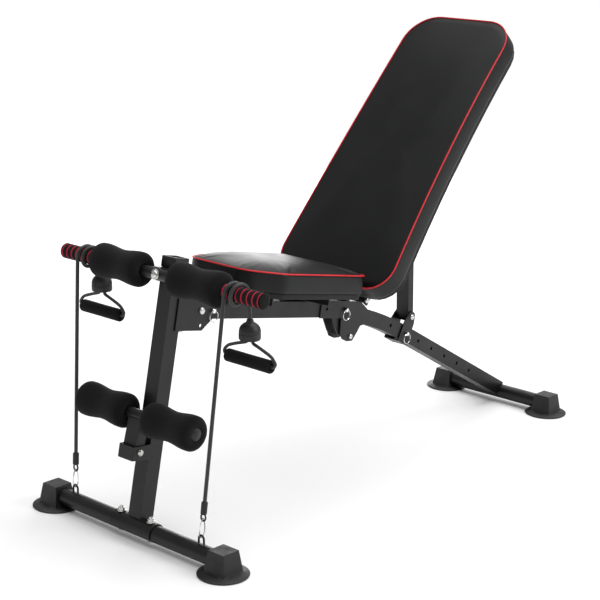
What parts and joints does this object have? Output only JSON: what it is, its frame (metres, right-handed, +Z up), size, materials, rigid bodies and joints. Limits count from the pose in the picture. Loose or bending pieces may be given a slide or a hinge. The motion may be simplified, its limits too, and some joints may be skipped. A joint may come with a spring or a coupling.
{
  "type": "decline sit up bench",
  "caption": "Folding decline sit up bench: tapered adjustable backrest, short seat, foam leg rollers on a front post and hanging resistance bands.",
  "frame": {"origin": "on the floor, midway between the front edge of the front feet and the rear edge of the rear feet, on the bench's centre plane", "axes": "+Z up, +Y towards the rear of the bench (backrest end), +X its right-hand side seen from the rear"},
  "size_m": [0.635, 1.454, 1.0534],
  "materials": {
    "powder_steel": "satin",
    "zinc_steel": "satin",
    "chrome_steel": "polished",
    "moulded_rubber": "matte",
    "cap_plastic": "matte",
    "roller_foam": "matte",
    "grip_foam": "matte",
    "padded_vinyl": "satin",
    "backing_board": "matte",
    "latex_band": "satin"
  },
  "bodies": {
    "seat_frame": {"seat_beam": "powder_steel", "seat_board": "backing_board", "seat_cushion": "padded_vinyl", "seat_support_front": "powder_steel", "seat_support_rear": "powder_steel", "fold_bolt": "zinc_steel"},
    "front_post": {"front_stabilizer": "powder_steel", "front_saddle": "powder_steel", "front_foot_left": "moulded_rubber", "front_foot_right": "moulded_rubber", "eye_loop_left": "powder_steel", "eye_loop_right": "powder_steel", "saddle_bolt_left": "zinc_steel", "saddle_bolt_right": "zinc_steel", "upright_tube": "powder_steel", "upright_cap": "cap_plastic", "gusset_bracket": "powder_steel", "front_pivot_bolt": "zinc_steel", "stop_bolt": "zinc_steel", "upper_cross_tube": "powder_steel", "cross_tube_bracket": "powder_steel", "cross_tube_bolt": "zinc_steel", "grip_left": "grip_foam", "grip_right": "grip_foam", "arm_bracket": "powder_steel", "arm_bracket_bolt": "zinc_steel", "carabiner_left": "chrome_steel", "carabiner_right": "chrome_steel", "ferrule_left": "moulded_rubber", "ferrule_right": "moulded_rubber", "band_left": "latex_band", "band_right": "latex_band", "band_stopper_left": "moulded_rubber", "band_stopper_right": "moulded_rubber", "handle_cord_left": "latex_band", "handle_cord_right": "latex_band"},
    "rear_leg_body": {"rear_leg": "powder_steel", "rear_stabilizer": "powder_steel", "rear_foot_left": "moulded_rubber", "rear_foot_right": "moulded_rubber", "backrest_hinge_bolt": "zinc_steel"},
    "backrest": {"backrest_board": "backing_board", "backrest_cushion": "padded_vinyl", "backrest_frame": "powder_steel"},
    "slider": {"slider_bracket": "powder_steel", "slider_bolt": "zinc_steel"},
    "strut": {"support_arm": "powder_steel", "arm_top_bolt": "zinc_steel"},
    "roller_swing": {"roller_arm": "powder_steel", "lower_cross_tube": "powder_steel"},
    "upper_roller_l": {"upper_roller_left": "roller_foam"},
    "upper_roller_r": {"upper_roller_right": "roller_foam"},
    "lower_roller_l": {"lower_roller_left": "roller_foam"},
    "lower_roller_r": {"lower_roller_right": "roller_foam"},
    "handle_l": {"handle_grip_left": "roller_foam"},
    "handle_r": {"handle_grip_right": "roller_foam"},
    "front_pin": {"front_ring_pin": "chrome_steel"},
    "fold_pin": {"fold_ring_pin": "chrome_steel"},
    "slider_pin": {"slider_ring_pin": "chrome_steel"}
  },
  "joints": [
    {"name": "front_fold", "type": "hinge", "parent": "seat_frame", "child": "front_post", "pos_m": [0, -0.5005, 0.4785], "axis": [1, 0, 0], "range_deg": [0, 85]},
    {"name": "rear_fold", "type": "hinge", "parent": "seat_frame", "child": "rear_leg_body", "pos_m": [0, 0.00279, 0.31964], "axis": [-1, 0, 0], "range_deg": [0, 100]},
    {"name": "backrest_tilt", "type": "hinge", "parent": "rear_leg_body", "child": "backrest", "pos_m": [0, -0.0027, 0.4206], "axis": [1, 0, 0], "range_deg": [-41.7, 8.9]},
    {"name": "slider_travel", "type": "slide", "parent": "rear_leg_body", "child": "slider", "axis": [0, 0.8742, -0.4856], "range_m": [-0.0752, 0.3508]},
    {"name": "strut_swing", "type": "hinge", "parent": "slider", "child": "strut", "pos_m": [0, 0.24424, 0.32214], "axis": [1, 0, 0], "range_deg": [-6.7, 30.9]},
    {"name": "roller_arm_swing", "type": "hinge", "parent": "front_post", "child": "roller_swing", "pos_m": [0, -0.68029, 0.20242], "axis": [1, 0, 0], "range_deg": [0, 12]},
    {"name": "upper_roller_left_spin", "type": "hinge", "parent": "front_post", "child": "upper_roller_l", "pos_m": [-0.1185, -0.60335, 0.5718], "axis": [1, 0, 0], "continuous": true},
    {"name": "upper_roller_right_spin", "type": "hinge", "parent": "front_post", "child": "upper_roller_r", "pos_m": [0.1185, -0.60335, 0.5718], "axis": [1, 0, 0], "continuous": true},
    {"name": "lower_roller_left_spin", "type": "hinge", "parent": "roller_swing", "child": "lower_roller_l", "pos_m": [-0.1015, -0.66105, 0.27514], "axis": [1, 0, 0], "continuous": true},
    {"name": "lower_roller_right_spin", "type": "hinge", "parent": "roller_swing", "child": "lower_roller_r", "pos_m": [0.1015, -0.66105, 0.27514], "axis": [1, 0, 0], "continuous": true},
    {"name": "handle_left_spin", "type": "hinge", "parent": "front_post", "child": "handle_l", "pos_m": [-0.207, -0.58155, 0.449], "axis": [1, 0, 0], "continuous": true},
    {"name": "handle_right_spin", "type": "hinge", "parent": "front_post", "child": "handle_r", "pos_m": [0.241, -0.58155, 0.432], "axis": [1, 0, 0], "continuous": true},
    {"name": "front_pin_pull", "type": "slide", "parent": "front_post", "child": "front_pin", "axis": [1, 0, 0], "range_m": [0, 0.009]},
    {"name": "fold_pin_pull", "type": "slide", "parent": "rear_leg_body", "child": "fold_pin", "axis": [1, 0, 0], "range_m": [0, 0.009]},
    {"name": "slider_pin_pull", "type": "slide", "parent": "slider", "child": "slider_pin", "axis": [1, 0, 0], "range_m": [0, 0.009]}
  ],
  "couplings": [
    {"joint": "slider_travel", "follows": "backrest_tilt", "m_per_rad": -0.4815},
    {"joint": "strut_swing", "follows": "backrest_tilt", "ratio": -0.735}
  ]
}
